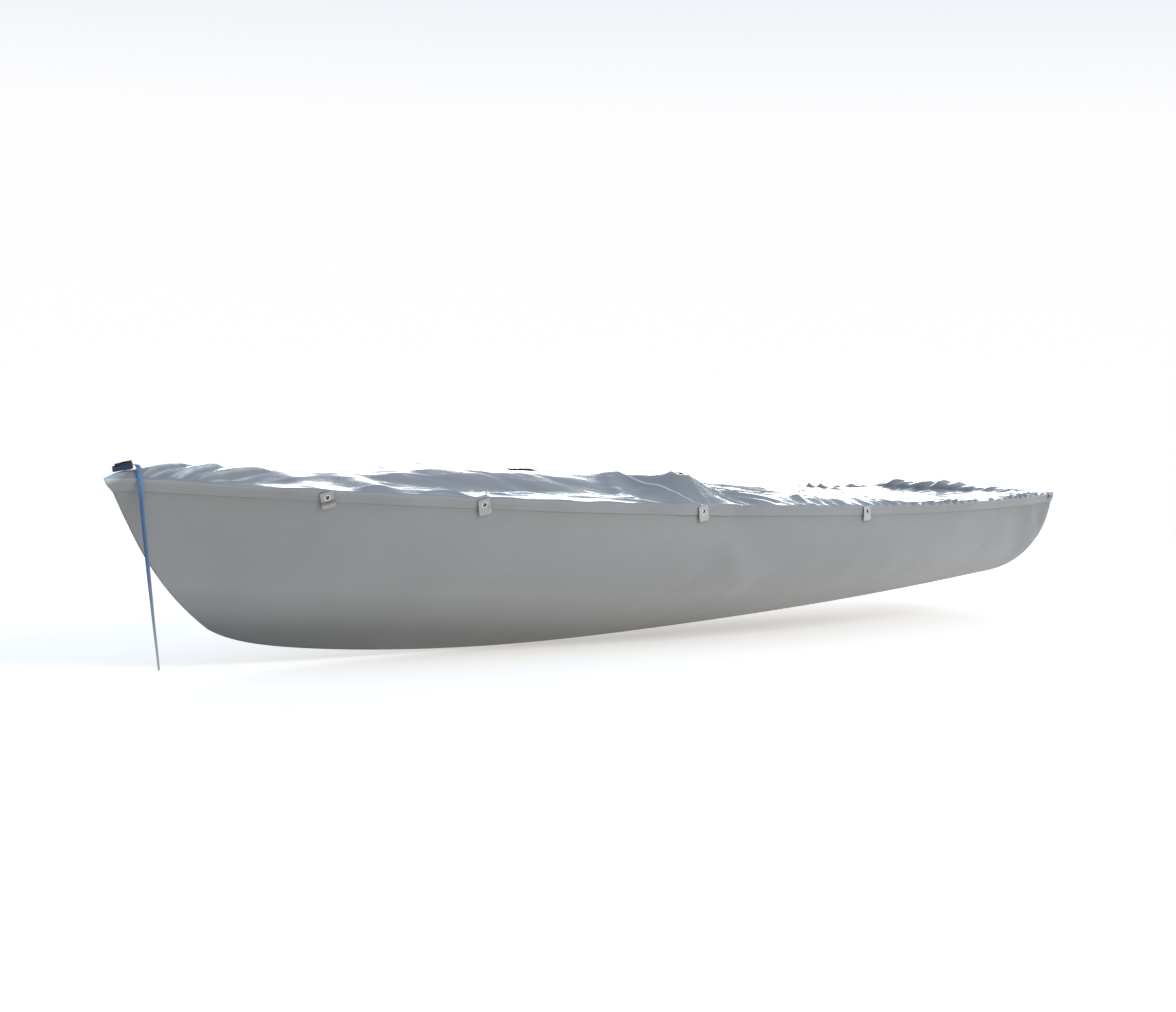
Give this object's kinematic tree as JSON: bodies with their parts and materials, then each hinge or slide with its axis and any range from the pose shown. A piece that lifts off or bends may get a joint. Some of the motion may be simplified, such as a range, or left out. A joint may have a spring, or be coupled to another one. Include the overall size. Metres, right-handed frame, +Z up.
{
  "type": "fitted boat cover",
  "caption": "Hollow fitted boat cover: a wrinkled coated deck cloth whose short skirt laps over smooth side and stern panels, with eyelet tabs along its edge and a webbing strap on the bow.",
  "frame": {"origin": "underside of the deck cloth on the centreline at mid-length, where the boat's deck carries it", "axes": "+X towards the stern, +Y to starboard, +Z up"},
  "size_m": [6.0646, 1.8056, 0.8299],
  "materials": {
    "coated_cloth": "glossy coated cloth, wrinkled",
    "side_cloth": "smooth satin cloth",
    "tab": "stiff pale cloth",
    "eyelet": "pressed metal, weathered",
    "webbing": "woven webbing"
  },
  "bodies": {
    "root": {"deck_fore": "coated_cloth", "deck_aft": "coated_cloth", "stern_panel": "side_cloth", "side_port": "side_cloth", "tab_port_1": "tab", "eyelet_port_1": "eyelet", "tab_port_2": "tab", "eyelet_port_2": "eyelet", "tab_port_3": "tab", "eyelet_port_3": "eyelet", "tab_port_4": "tab", "eyelet_port_4": "eyelet", "patch_port": "tab", "eyelet_port_stern": "eyelet", "side_starboard": "side_cloth", "tab_starboard_1": "tab", "eyelet_starboard_1": "eyelet", "tab_starboard_2": "tab", "eyelet_starboard_2": "eyelet", "tab_starboard_3": "tab", "eyelet_starboard_3": "eyelet", "tab_starboard_4": "tab", "eyelet_starboard_4": "eyelet", "patch_starboard": "tab", "eyelet_starboard_stern": "eyelet", "strap_loop": "webbing", "strap_tail": "webbing"}
  },
  "joints": []
}
